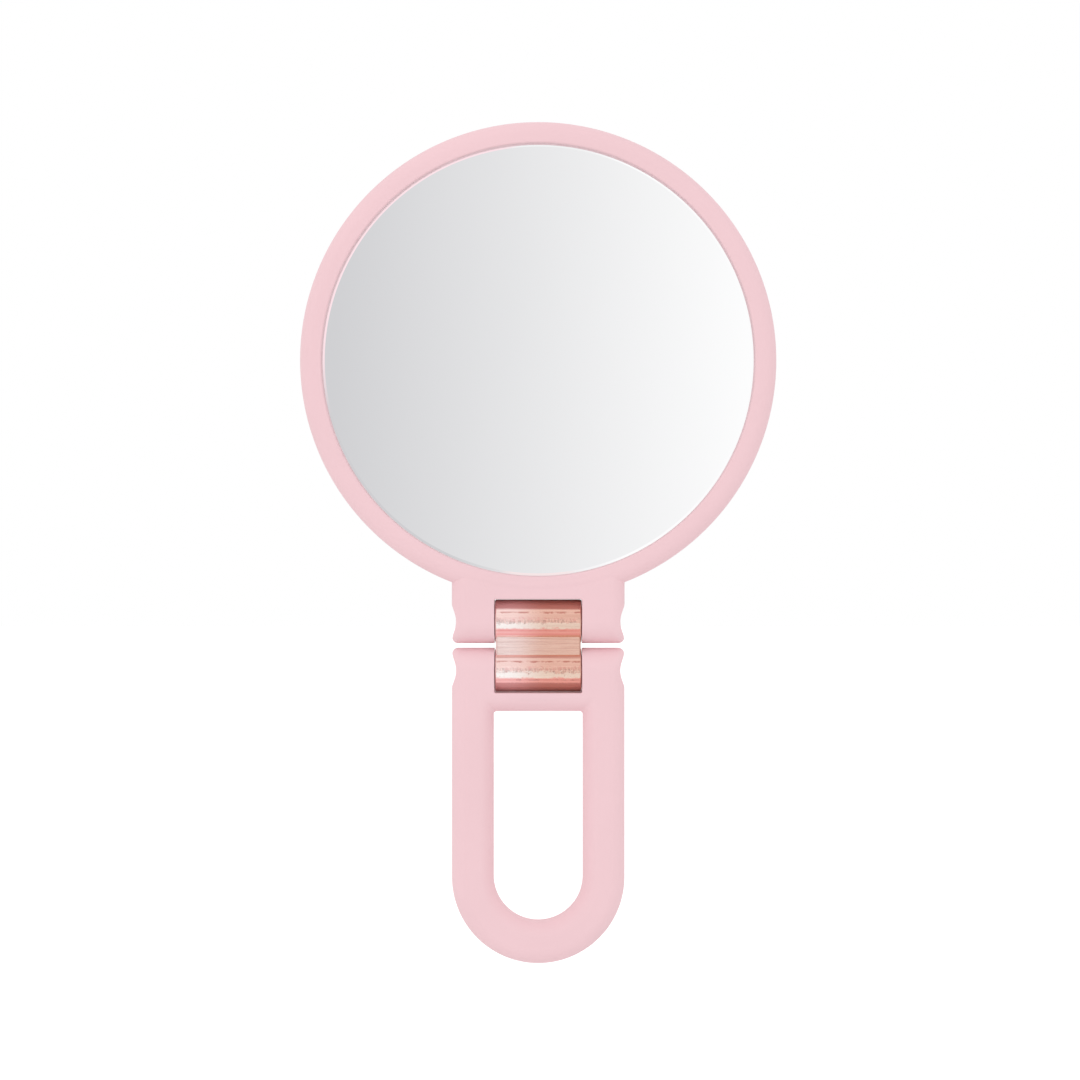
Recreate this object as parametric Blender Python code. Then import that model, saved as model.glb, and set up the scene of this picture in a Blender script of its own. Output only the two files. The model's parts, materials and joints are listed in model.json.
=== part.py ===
"""Folding double-sided hand mirror: a round head, a two-axis friction hinge and a loop handle.

Metres, +Z up towards the head, +X to the right and the flat glass facing -Y. The origin is the
centre of the handle's loop opening, where the hand holds it. Run with
blender --background --python part.py, or from Blender's text editor.
"""

import math

import bmesh
import bpy
from mathutils import Matrix, Vector

# ---- driving dimensions -------------------------------------------------------------------------
HANDLE_THICKNESS = 0.0131  # handle and neck, front to back
EDGE_ROUND = 0.0045  # rounding of the long edges of handle and neck
SEAM = 0.0002  # parting line between a front and a rear shell
SEAT_GAP = 0.0002  # between faces that seat on each other

APERTURE_RADIUS = 0.0635  # what shows of the glass
RIM_WIDTH = 0.0065  # of the ring round the glass, seen from the front
HEAD_THICKNESS = 0.0136
HEAD_EDGE_ROUND = 0.0042  # rounding of the head's outer edge
FRONT_LIP = 0.0020  # thickness of the rim where it covers the flat glass
REAR_LIP = 0.0013  # the same over the magnifying glass
LIP_ROUND = 0.0006  # rounding of the rim's inner edge

GLASS_LAP = 0.0025  # how far the glass reaches under the rim
GLASS_CLEARANCE = 0.0003  # round the glass, in its pocket
GLASS_THICKNESS = 0.0020
BEVEL_SHOWN = 0.0008  # how much of the flat glass's bevel shows inside the rim
BEVEL_DEPTH = 0.00035
MAGNIFIER_CURVE = 0.670  # radius of curvature of the magnifying glass
GASKET_WIDTH = 0.0050
GASKET_THICKNESS = 0.0006
SPACER_WIDTH = 0.0065

TONGUE_MARGIN = 0.0013  # from the glass's pocket to the ridge that locates the two shells
TONGUE_WIDTH = 0.0010
TONGUE_HEIGHT = 0.0010
TONGUE_FIT = 0.0002

HANDLE_WIDTH = 0.0508
BAR_WIDTH = 0.0123
LOOP_OPEN_LENGTH = 0.0618
LOOP_CORNER = 0.0010  # corners of the opening, under the crossbar
CROSSBAR_HEIGHT = 0.0055
HANDLE_WALL = 0.0020
BOSS_WIDTH = 0.0070  # solid stretch of the loop's end, round its locating peg

HINGE_PITCH = 0.0144  # between the two pivot axes
LINTEL_HEIGHT = 0.00665  # from the end of the neck's slot to what shows of the glass
WINDOW_WIDTH = 0.0257  # slot between the two ears of head and handle
EAR_CORNER = 0.0018  # rounding of the ears' outer corners, seen from the front
SILL_CLEARANCE = 0.0002  # between a barrel and the end of the slot it turns in
DISH_RADIUS = 0.0055  # counterbore in the side of each ear, at its pin
DISH_DEPTH = 0.0019
DISH_DRAFT = 0.0004  # how much narrower the counterbore is at its floor

BARREL_RADIUS = 0.00635  # the link's two barrels
BARREL_ROUND = 0.0005
END_CLEARANCE = 0.00015  # between a barrel's end and the ear beside it
WEB_HALF_DEPTH = 0.0044  # the web between the barrels, middle plane to face
WEB_SIDE_INSET = 0.0002  # the web is this much shorter than the barrels, at each end

PIN_RADIUS = 0.0015
PIN_FIT = 0.00015  # radial clearance of the pin in ears, sleeves and washers
PIN_CHAMFER = 0.0003
SLEEVE_WALL = 0.0006
SLEEVE_FIT = 0.0002  # radial clearance of the sleeve in its barrel
SLEEVE_LENGTH = 0.0090
SLEEVE_SLIT = math.radians(36)
SLEEVE_MARGIN = 0.0012  # from the washer's recess to the sleeve
WASHER_RADIUS = 0.0045
WASHER_THICKNESS = 0.0003
WASHER_GAP = 0.0001
WASHER_FIT = 0.0002  # radial clearance of the washer in the recess in the barrel's end
CAP_RADIUS = 0.0026
CAP_THICKNESS = 0.0013
CAP_PROUD = 0.0002  # how far the cap's dome stands out of the counterbore's floor
CAP_FIT = 0.0002

PEG_RADIUS = 0.0012  # locating pegs of the handle's front shell
PEG_HEIGHT = 0.0020
PEG_FIT = 0.0002
PEG_X = 0.0190
PEG_DROP = 0.0100  # below the lower axis

# ---- levels and radii that follow from them -------------------------------------------------------
HALF = HANDLE_THICKNESS / 2
HEAD_HALF = HEAD_THICKNESS / 2
HEAD_RADIUS = APERTURE_RADIUS + RIM_WIDTH
GLASS_RADIUS = APERTURE_RADIUS + GLASS_LAP
HANDLE_HALF_WIDTH = HANDLE_WIDTH / 2
OPEN_HALF_WIDTH = HANDLE_HALF_WIDTH - BAR_WIDTH
OPEN_TOP_Z = LOOP_OPEN_LENGTH / 2
LOOP_CENTRE_Z = -LOOP_OPEN_LENGTH / 2 + OPEN_HALF_WIDTH
SILL_Z = OPEN_TOP_Z + CROSSBAR_HEIGHT
LOWER_AXIS_Z = SILL_Z + BARREL_RADIUS + SILL_CLEARANCE
UPPER_AXIS_Z = LOWER_AXIS_Z + HINGE_PITCH
LINTEL_Z = UPPER_AXIS_Z + BARREL_RADIUS + SILL_CLEARANCE
HEAD_CENTRE_Z = LINTEL_Z + LINTEL_HEIGHT + APERTURE_RADIUS
NECK_ROOT_Z = HEAD_CENTRE_Z - math.sqrt(APERTURE_RADIUS**2 - HANDLE_HALF_WIDTH**2)
END_PEG_Z = -LOOP_OPEN_LENGTH / 2 - BAR_WIDTH / 2
POCKET_RADIUS = GLASS_RADIUS + GLASS_CLEARANCE
TONGUE_RADIUS = POCKET_RADIUS + TONGUE_MARGIN
FLAT_FACE = HEAD_HALF - FRONT_LIP - SEAT_GAP
MAGNIFIER_EDGE_FACE = HEAD_HALF - REAR_LIP - SEAT_GAP
WINDOW_HALF_WIDTH = WINDOW_WIDTH / 2
BARREL_HALF_LENGTH = WINDOW_HALF_WIDTH - END_CLEARANCE
RECESS_X = WINDOW_HALF_WIDTH - WASHER_THICKNESS - 2 * WASHER_GAP
LINK_BORE_RADIUS = PIN_RADIUS + PIN_FIT + SLEEVE_WALL + SLEEVE_FIT
DISH_FLOOR_X = HANDLE_HALF_WIDTH - DISH_DEPTH
CAP_INNER_X = DISH_FLOOR_X + CAP_PROUD - CAP_THICKNESS
PIN_HALF_LENGTH = CAP_INNER_X - 2 * SEAT_GAP

# ---- how finely round shapes are cut ---------------------------------------------------------------
RING_SIDES = 72
GLASS_RINGS = 4
LOOP_STEPS = 20
SMALL_SIDES = 16
BARREL_SIDES = 32
ROUND_STEPS = 4
LIP_STEPS = 2
CORNER_STEPS = 3
SMOOTH_ANGLE = math.radians(32)
MERGE = 0.0000005  # corners closer than this are one corner
OVERLAP = 0.0010  # how far joined forms run into each other, or past a plane that trims them
REACH = 0.5  # half the size of a box that trims

# Principled colours: (red, green, blue), roughness, metallic
FINISHES = {
    "soft_touch_pink": ((0.880, 0.610, 0.640), 0.55, 0.0),
    "rose_gold": ((0.860, 0.500, 0.400), 0.20, 1.0),
    "mirror_silver": ((0.900, 0.900, 0.905), 0.03, 1.0),
    "pivot_steel": ((0.560, 0.570, 0.580), 0.32, 1.0),
    "nylon": ((0.820, 0.800, 0.740), 0.50, 0.0),
    "gasket_rubber": ((0.060, 0.060, 0.065), 0.90, 0.0),
}

ALONG_X = Matrix.Rotation(math.pi / 2, 4, "Y")  # local +Z becomes +X
AGAINST_X = Matrix.Rotation(-math.pi / 2, 4, "Y")
TO_REAR = Matrix.Rotation(-math.pi / 2, 4, "X")  # local +Z becomes +Y
TO_FRONT = Matrix.Rotation(math.pi / 2, 4, "X")
FRONT, REAR = -1, 1


# ---- scene and object helpers ----------------------------------------------------------------------
def clear_scene():
    for obj in list(bpy.data.objects):
        bpy.data.objects.remove(obj)


def finish(name):
    """The named material, made on first use."""
    found = bpy.data.materials.get(name)
    if found:
        return found
    colour, roughness, metallic = FINISHES[name]
    material = bpy.data.materials.new(name)
    material.use_nodes = True
    shader = material.node_tree.nodes["Principled BSDF"]
    shader.inputs["Base Color"].default_value = (*colour, 1.0)
    shader.inputs["Roughness"].default_value = roughness
    shader.inputs["Metallic"].default_value = metallic
    return material


def mesh_object(name, bm):
    """Turns a bmesh into a linked object with outward normals."""
    bmesh.ops.recalc_face_normals(bm, faces=bm.faces)
    mesh = bpy.data.meshes.new(name)
    bm.to_mesh(mesh)
    bm.free()
    obj = bpy.data.objects.new(name, mesh)
    bpy.context.scene.collection.objects.link(obj)
    return obj


def tidy(mesh):
    """Merges the corners that a Boolean leaves on top of each other."""
    bm = bmesh.new()
    bm.from_mesh(mesh)
    bmesh.ops.triangulate(bm, faces=bm.faces)
    bmesh.ops.remove_doubles(bm, verts=bm.verts, dist=MERGE)
    bmesh.ops.dissolve_degenerate(bm, dist=MERGE, edges=bm.edges)
    bm.to_mesh(mesh)
    bm.free()


def combine(target, other, operation):
    """Applies one Boolean with the exact solver and removes the other object."""
    modifier = target.modifiers.new(operation, "BOOLEAN")
    modifier.operation = operation
    modifier.solver = "EXACT"
    modifier.object = other
    graph = bpy.context.evaluated_depsgraph_get()
    graph.update()
    mesh = bpy.data.meshes.new_from_object(target.evaluated_get(graph))
    tidy(mesh)
    target.modifiers.clear()
    target.data = mesh
    bpy.data.objects.remove(other)
    return target


def cut(target, other):
    return combine(target, other, "DIFFERENCE")


def join(target, other):
    return combine(target, other, "UNION")


def dress(obj, material, group):
    """Gives a piece its material and smooth shading, and hangs it on its moving group's empty."""
    obj.data.materials.clear()
    obj.data.materials.append(finish(material))
    obj.data.shade_smooth()
    obj.data.set_sharp_from_angle(angle=SMOOTH_ANGLE)
    bpy.context.view_layer.update()
    obj.parent = group
    obj.matrix_parent_inverse = group.matrix_world.inverted()
    return obj


def group_empty(name, z):
    """An empty on a pivot axis, which carries every piece of one moving group."""
    empty = bpy.data.objects.new(name, None)
    empty.location = (0, 0, z)
    bpy.context.scene.collection.objects.link(empty)
    bpy.context.view_layer.update()
    return empty


# ---- shape helpers ---------------------------------------------------------------------------------
def arc(centre, radius, start, end, steps):
    """Points on a circle from one angle to the other, ends included."""
    angles = [start + (end - start) * i / steps for i in range(steps + 1)]
    return [(centre[0] + radius * math.cos(a), centre[1] + radius * math.sin(a)) for a in angles]


def box(low, high):
    low, high = Vector(low), Vector(high)
    bm = bmesh.new()
    place = Matrix.Translation((low + high) / 2) @ Matrix.Diagonal((*(high - low), 1))
    bmesh.ops.create_cube(bm, size=1, matrix=place)
    return mesh_object("box", bm)


def turned(name, profile, sides, turn, centre=(0, 0, 0)):
    """A (radius, height) profile spun about local Z. It is closed on itself, or ends on the axis."""
    bm = bmesh.new()
    angles = [math.tau * i / sides for i in range(sides)]
    rings = []
    for r, h in profile:
        if r == 0:
            rings.append([bm.verts.new((0, 0, h))] * sides)
        else:
            rings.append([bm.verts.new((r * math.cos(a), r * math.sin(a), h)) for a in angles])
    pairs = list(zip(rings, rings[1:]))
    if profile[0][0] and profile[-1][0]:
        pairs.append((rings[-1], rings[0]))
    for low, high in pairs:
        for i in range(sides):
            j = (i + 1) % sides
            corners = dict.fromkeys((low[i], low[j], high[j], high[i]))
            bm.faces.new(tuple(corners))
    bmesh.ops.transform(bm, matrix=Matrix.Translation(centre) @ turn, verts=bm.verts)
    return mesh_object(name, bm)


def rod(name, radius, start, end, turn, centre=(0, 0, 0), sides=SMALL_SIDES, chamfer=0.0):
    """A cylinder along the turned axis, with chamfered ends if a chamfer is given."""
    profile = [(0, start), (radius - chamfer, start)]
    if chamfer:
        profile += [(radius, start + chamfer), (radius, end - chamfer)]
    profile += [(radius - chamfer, end), (0, end)]
    return turned(name, profile, sides, turn, centre)


def edge_levels(start, half, rounding, steps, inset=0.0):
    """(depth, inset) pairs, from a start depth out to a face whose edges are rounded."""
    levels = [(start, inset), (half - rounding, inset)]
    for i in range(1, steps + 1):
        angle = math.pi / 2 * i / steps
        rise = rounding * math.sin(angle)
        levels.append((half - rounding + rise, inset + rounding * (1 - math.cos(angle))))
    return levels


def lofted(name, levels, outlines_at, side):
    """A closed solid whose (x, z) outlines change with depth, from the first level to the last."""
    bm = bmesh.new()
    stack = []
    for depth, inset in levels:
        loops = outlines_at(depth, inset)
        stack.append([[bm.verts.new((x, side * depth, z)) for x, z in loop] for loop in loops])
    for low, high in zip(stack, stack[1:]):
        for near, far in zip(low, high):
            for i in range(len(near)):
                j = (i + 1) % len(near)
                bm.faces.new((near[i], near[j], far[j], far[i]))
    for loops in (stack[0], stack[-1]):
        rims = [bm.edges.get((a, b)) for loop in loops for a, b in zip(loop, loop[1:] + loop[:1])]
        bmesh.ops.triangle_fill(bm, edges=rims, use_beauty=True)
    return mesh_object(name, bm)


def other_side(side):
    """A box that holds all of space past one shell's seam face."""
    if side == REAR:
        return box((-REACH, -REACH, -REACH), (REACH, SEAM / 2, REACH))
    return box((-REACH, -SEAM / 2, -REACH), (REACH, REACH, REACH))


# ---- ears, shared by head and handle ----------------------------------------------------------------
def ear_tip(axis_z, direction, depth):
    """Height of the ears' half-round end at a depth from the middle plane."""
    return axis_z + direction * math.sqrt(max(HALF**2 - depth**2, 0))


def cut_window(shell, end_z, tip_z):
    """The slot between the ears, from its end to past their tips."""
    low_z, high_z = sorted((end_z, tip_z))
    cut(shell, box((-WINDOW_HALF_WIDTH, -REACH, low_z), (WINDOW_HALF_WIDTH, REACH, high_z)))


def cut_pivot(shell, axis_z):
    """The pin's bore, the caps' pockets and the round counterbores in the ears' sides."""
    centre = (0, 0, axis_z)
    past = HANDLE_HALF_WIDTH + OVERLAP
    cut(shell, rod("bore", PIN_RADIUS + PIN_FIT, -past, past, ALONG_X, centre))
    dish = [
        (0, DISH_FLOOR_X),
        (DISH_RADIUS - DISH_DRAFT, DISH_FLOOR_X),
        (DISH_RADIUS, HANDLE_HALF_WIDTH),
        (DISH_RADIUS, past),
        (0, past),
    ]
    for turn in (ALONG_X, AGAINST_X):
        pocket_floor = CAP_INNER_X - SEAT_GAP
        cut(shell, rod("pocket", CAP_RADIUS + CAP_FIT, pocket_floor, past, turn, centre))
        cut(shell, turned("dish", dish, BARREL_SIDES, turn, centre))


# ---- head -------------------------------------------------------------------------------------------
def rim_profile(lip):
    """(radius, depth) outline of one rim shell, from past the middle plane out to its crown."""
    pocket_face = HEAD_HALF - lip
    crown_centre = (HEAD_RADIUS - HEAD_EDGE_ROUND, HEAD_HALF - HEAD_EDGE_ROUND)
    lip_centre = (APERTURE_RADIUS + LIP_ROUND, HEAD_HALF - LIP_ROUND)
    return [
        (HEAD_RADIUS, -OVERLAP),
        *arc(crown_centre, HEAD_EDGE_ROUND, 0, math.pi / 2, ROUND_STEPS),
        *arc(lip_centre, LIP_ROUND, math.pi / 2, math.pi, LIP_STEPS),
        (APERTURE_RADIUS, pocket_face),
        (POCKET_RADIUS, pocket_face),
        (POCKET_RADIUS, -OVERLAP),
    ]


def neck_outlines(depth, inset):
    """The neck between the rim and the ears' tips, as wide as the handle."""
    half_width = HANDLE_HALF_WIDTH - inset
    tip = ear_tip(UPPER_AXIS_Z, -1, depth)
    corner_x = half_width - EAR_CORNER
    corner_z = tip + EAR_CORNER
    outline = [(half_width, NECK_ROOT_Z), (-half_width, NECK_ROOT_Z)]
    outline += arc((-corner_x, corner_z), EAR_CORNER, math.pi, 1.5 * math.pi, CORNER_STEPS)
    outline += arc((corner_x, corner_z), EAR_CORNER, 1.5 * math.pi, math.tau, CORNER_STEPS)
    return [outline]


def tongue_profile(fit, start):
    """(radius, depth) outline of the locating ridge, widened by a fit for its groove."""
    inner = TONGUE_RADIUS - fit
    outer = TONGUE_RADIUS + TONGUE_WIDTH + fit
    end = TONGUE_HEIGHT + fit
    return [(inner, start), (outer, start), (outer, end), (inner, end)]


def make_head_shell(name, side, group):
    """One half of the rim with its half of the neck and ears."""
    turn, lip = (TO_FRONT, FRONT_LIP) if side == FRONT else (TO_REAR, REAR_LIP)
    centre = (0, 0, HEAD_CENTRE_Z)
    neck_levels = edge_levels(-2 * OVERLAP, HALF, EDGE_ROUND, ROUND_STEPS)
    neck = lofted("neck", neck_levels, neck_outlines, side)
    bowl_radius = POCKET_RADIUS + GLASS_CLEARANCE
    bowl = rod("bowl", bowl_radius, -REACH, REACH, TO_REAR, centre, RING_SIDES)
    shell = turned(name, rim_profile(lip), RING_SIDES, turn, centre)
    join(shell, cut(neck, bowl))
    cut(shell, other_side(side))
    if side == FRONT:
        ridge = tongue_profile(0.0, -OVERLAP)
        join(shell, turned("tongue", ridge, RING_SIDES, TO_REAR, centre))
    else:
        groove = tongue_profile(TONGUE_FIT, -OVERLAP)
        cut(shell, turned("groove", groove, RING_SIDES, TO_REAR, centre))
    cut_window(shell, LINTEL_Z, LOWER_AXIS_Z)
    cut_pivot(shell, UPPER_AXIS_Z)
    return dress(shell, "soft_touch_pink", group)


# ---- handle -----------------------------------------------------------------------------------------
def loop_outlines(tip_z, inset):
    """The loop's outer outline, straight across at tip_z, and its opening."""
    half_width = HANDLE_HALF_WIDTH - inset
    ear_x = half_width - EAR_CORNER
    ear_z = tip_z - EAR_CORNER
    outer = arc((ear_x, ear_z), EAR_CORNER, 0, math.pi / 2, CORNER_STEPS)
    outer += arc((-ear_x, ear_z), EAR_CORNER, math.pi / 2, math.pi, CORNER_STEPS)
    outer += arc((0, LOOP_CENTRE_Z), half_width, math.pi, math.tau, LOOP_STEPS)
    corner_x = OPEN_HALF_WIDTH + inset - LOOP_CORNER
    corner_z = OPEN_TOP_Z + inset - LOOP_CORNER
    opening = arc((corner_x, corner_z), LOOP_CORNER, 0, math.pi / 2, CORNER_STEPS)
    opening += arc((-corner_x, corner_z), LOOP_CORNER, math.pi / 2, math.pi, CORNER_STEPS)
    opening += arc((0, LOOP_CENTRE_Z), OPEN_HALF_WIDTH + inset, math.pi, math.tau, LOOP_STEPS)
    return [outer, opening]


def handle_outlines(depth, inset):
    return loop_outlines(ear_tip(LOWER_AXIS_Z, 1, depth), inset)


def cavity_outlines(_depth, inset):
    """The hollow between the loop's outline and its opening, straight across at the sill."""
    return loop_outlines(SILL_Z, inset)


def make_cavity(side):
    """The hollow of the bars and the loop's end, solid round the end's peg and under the sill."""
    round_left = EDGE_ROUND - HANDLE_WALL
    levels = edge_levels(-OVERLAP, HALF - HANDLE_WALL, round_left, 2, HANDLE_WALL)
    cavity = lofted("cavity", levels, cavity_outlines, side)
    cut(cavity, box((-REACH, -REACH, OPEN_TOP_Z - HANDLE_WALL), (REACH, REACH, REACH)))
    half_boss = BOSS_WIDTH / 2
    return cut(cavity, box((-half_boss, -REACH, -REACH), (half_boss, REACH, LOOP_CENTRE_Z)))


def peg_places():
    """(x, z) of the handle's three locating pegs."""
    upper_z = LOWER_AXIS_Z - PEG_DROP
    return [(-PEG_X, upper_z), (PEG_X, upper_z), (0, END_PEG_Z)]


def make_handle_shell(name, side, group):
    """One half of the loop handle, hollow along the bars, with its half of the ears."""
    levels = edge_levels(SEAM / 2, HALF, EDGE_ROUND, ROUND_STEPS)
    shell = lofted(name, levels, handle_outlines, side)
    cut_window(shell, SILL_Z, UPPER_AXIS_Z)
    cut_pivot(shell, LOWER_AXIS_Z)
    for x, z in peg_places():
        place = (x, 0, z)
        if side == FRONT:
            join(shell, rod("peg", PEG_RADIUS, -OVERLAP, PEG_HEIGHT, TO_REAR, place))
        else:
            depth = PEG_HEIGHT + PEG_FIT
            cut(shell, rod("socket", PEG_RADIUS + PEG_FIT, -OVERLAP, depth, TO_REAR, place))
    cut(shell, make_cavity(side))
    return dress(shell, "soft_touch_pink", group)


# ---- glasses ----------------------------------------------------------------------------------------
def dish_rise(radius):
    """How far the magnifying glass has risen at a radius, from its centre."""
    return MAGNIFIER_CURVE - math.sqrt(MAGNIFIER_CURVE**2 - radius**2)


def magnifier_face(radius):
    """Depth of the magnifying glass's shown face at a radius."""
    return MAGNIFIER_EDGE_FACE - dish_rise(GLASS_RADIUS) + dish_rise(radius)


def make_glasses(group):
    """The bevelled glass in front, the dished one behind, and the rings that hold them apart."""
    centre = (0, 0, HEAD_CENTRE_Z)
    back = FLAT_FACE - GLASS_THICKNESS
    bevelled = [
        (0, back),
        (GLASS_RADIUS, back),
        (GLASS_RADIUS, FLAT_FACE - BEVEL_DEPTH),
        (APERTURE_RADIUS - BEVEL_SHOWN, FLAT_FACE),
        (0, FLAT_FACE),
    ]
    flat = turned("front_glass", bevelled, RING_SIDES, TO_FRONT, centre)
    radii = [GLASS_RADIUS * i / GLASS_RINGS for i in range(GLASS_RINGS + 1)]
    hidden = [(r, magnifier_face(r) - GLASS_THICKNESS) for r in radii]
    shown = [(r, magnifier_face(r)) for r in reversed(radii)]
    dished = turned("magnifying_glass", hidden + shown, RING_SIDES, TO_REAR, centre)
    dress(flat, "mirror_silver", group)
    dress(dished, "mirror_silver", group)

    inner = GLASS_RADIUS - GASKET_WIDTH
    top = back - SEAT_GAP
    flat_gasket = [
        (inner, top - GASKET_THICKNESS),
        (GLASS_RADIUS, top - GASKET_THICKNESS),
        (GLASS_RADIUS, top),
        (inner, top),
    ]
    seat_inner = magnifier_face(inner) - GLASS_THICKNESS - SEAT_GAP
    seat_floor = seat_inner - GASKET_THICKNESS
    sloped_gasket = [
        (inner, seat_floor),
        (GLASS_RADIUS, seat_floor),
        (GLASS_RADIUS, top),
        (inner, seat_inner),
    ]
    spacer_inner = GLASS_RADIUS - SPACER_WIDTH
    spacer_front = -(top - GASKET_THICKNESS - SEAT_GAP)
    spacer_rear = seat_floor - SEAT_GAP
    spacer = [
        (spacer_inner, spacer_front),
        (GLASS_RADIUS, spacer_front),
        (GLASS_RADIUS, spacer_rear),
        (spacer_inner, spacer_rear),
    ]
    rings = (
        ("front_gasket", flat_gasket, TO_FRONT, "gasket_rubber"),
        ("rear_gasket", sloped_gasket, TO_REAR, "gasket_rubber"),
        ("glass_spacer", spacer, TO_REAR, "nylon"),
    )
    for name, profile, turn, material in rings:
        dress(turned(name, profile, RING_SIDES, turn, centre), material, group)


# ---- hinge ------------------------------------------------------------------------------------------
def make_link(group):
    """The plated link: two barrels joined by a web, bored for the sleeves and washers."""
    web_half_length = BARREL_HALF_LENGTH - WEB_SIDE_INSET
    low = (-web_half_length, -WEB_HALF_DEPTH, LOWER_AXIS_Z)
    link = box(low, (web_half_length, WEB_HALF_DEPTH, UPPER_AXIS_Z))
    link.name = "hinge_link"
    ends = (-BARREL_HALF_LENGTH, BARREL_HALF_LENGTH)
    for z in (LOWER_AXIS_Z, UPPER_AXIS_Z):
        place = (0, 0, z)
        barrel = rod("barrel", BARREL_RADIUS, *ends, ALONG_X, place, BARREL_SIDES, BARREL_ROUND)
        join(link, barrel)
    past = BARREL_HALF_LENGTH + OVERLAP
    for z in (LOWER_AXIS_Z, UPPER_AXIS_Z):
        place = (0, 0, z)
        cut(link, rod("bore", LINK_BORE_RADIUS, -past, past, ALONG_X, place))
        for turn in (ALONG_X, AGAINST_X):
            cut(link, rod("recess", WASHER_RADIUS + WASHER_FIT, RECESS_X, past, turn, place))
    return dress(link, "rose_gold", group)


def shared_mesh(obj):
    """The object's mesh alone, for copies that share it."""
    mesh = obj.data
    bpy.data.objects.remove(obj)
    return mesh


def sleeve_mesh():
    """A slit spring sleeve along X, centred on its own origin."""
    inner = PIN_RADIUS + PIN_FIT
    start, end = SLEEVE_SLIT / 2, math.tau - SLEEVE_SLIT / 2
    outline = arc((0, 0), inner, start, end, SMALL_SIDES)
    outline += arc((0, 0), inner + SLEEVE_WALL, end, start, SMALL_SIDES)
    bm = bmesh.new()
    face = bm.faces.new([bm.verts.new((-SLEEVE_LENGTH / 2, y, z)) for y, z in outline])
    made = bmesh.ops.extrude_face_region(bm, geom=[face])["geom"]
    far = [item for item in made if isinstance(item, bmesh.types.BMVert)]
    bmesh.ops.translate(bm, verts=far, vec=(SLEEVE_LENGTH, 0, 0))
    return shared_mesh(mesh_object("sleeve", bm))


def washer_mesh():
    """A flat washer along X, centred on its own origin."""
    inner = PIN_RADIUS + PIN_FIT
    low, high = -WASHER_THICKNESS / 2, WASHER_THICKNESS / 2
    profile = [(inner, low), (WASHER_RADIUS, low), (WASHER_RADIUS, high), (inner, high)]
    return shared_mesh(turned("washer", profile, SMALL_SIDES, ALONG_X))


def cap_mesh():
    """A pin cap along +X with a low dome, its inner face on its own origin."""
    shoulder = CAP_THICKNESS - CAP_PROUD
    profile = [(0, 0), (CAP_RADIUS, 0), (CAP_RADIUS, shoulder), (0, CAP_THICKNESS)]
    return shared_mesh(turned("cap", profile, SMALL_SIDES, ALONG_X))


def place_copy(name, mesh, location, material, group, turn=0.0):
    """An object that shares a mesh, at a place and turned about Z."""
    obj = bpy.data.objects.new(name, mesh)
    bpy.context.scene.collection.objects.link(obj)
    obj.location = location
    obj.rotation_euler = (0, 0, turn)
    return dress(obj, material, group)


def make_pivots(link, carriers):
    """Per axis: a pin and two caps on its carrier, two sleeves and two washers on the link."""
    sleeve, washer, cap = sleeve_mesh(), washer_mesh(), cap_mesh()
    sleeve_x = RECESS_X - SLEEVE_MARGIN - SLEEVE_LENGTH / 2
    washer_x = RECESS_X + WASHER_GAP + WASHER_THICKNESS / 2
    for level, z, carrier in carriers:
        ends = (-PIN_HALF_LENGTH, PIN_HALF_LENGTH)
        pin = rod(f"{level}_pin", PIN_RADIUS, *ends, ALONG_X, (0, 0, z), chamfer=PIN_CHAMFER)
        dress(pin, "pivot_steel", carrier)
        for side_name, side, turn in (("left", -1, math.pi), ("right", 1, 0.0)):
            place = (side * sleeve_x, 0, z)
            place_copy(f"{level}_sleeve_{side_name}", sleeve, place, "pivot_steel", link)
            place = (side * washer_x, 0, z)
            place_copy(f"{level}_washer_{side_name}", washer, place, "nylon", link)
            place = (side * CAP_INNER_X, 0, z)
            name = f"{level}_pin_cap_{side_name}"
            place_copy(name, cap, place, "soft_touch_pink", carrier, turn)


def main():
    clear_scene()
    handle = group_empty("handle_group", 0.0)
    link = group_empty("link_group", LOWER_AXIS_Z)
    head = group_empty("head_group", UPPER_AXIS_Z)
    make_head_shell("head_front_shell", FRONT, head)
    make_head_shell("head_rear_shell", REAR, head)
    make_glasses(head)
    make_handle_shell("handle_front_shell", FRONT, handle)
    make_handle_shell("handle_rear_shell", REAR, handle)
    make_link(link)
    make_pivots(link, (("upper", UPPER_AXIS_Z, head), ("lower", LOWER_AXIS_Z, handle)))


main()
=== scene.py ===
"""Looks of the folding hand mirror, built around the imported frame. Metres, in the frame's axes."""

import json
import math

import bmesh
import bpy
from mathutils import Matrix, Vector


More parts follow.
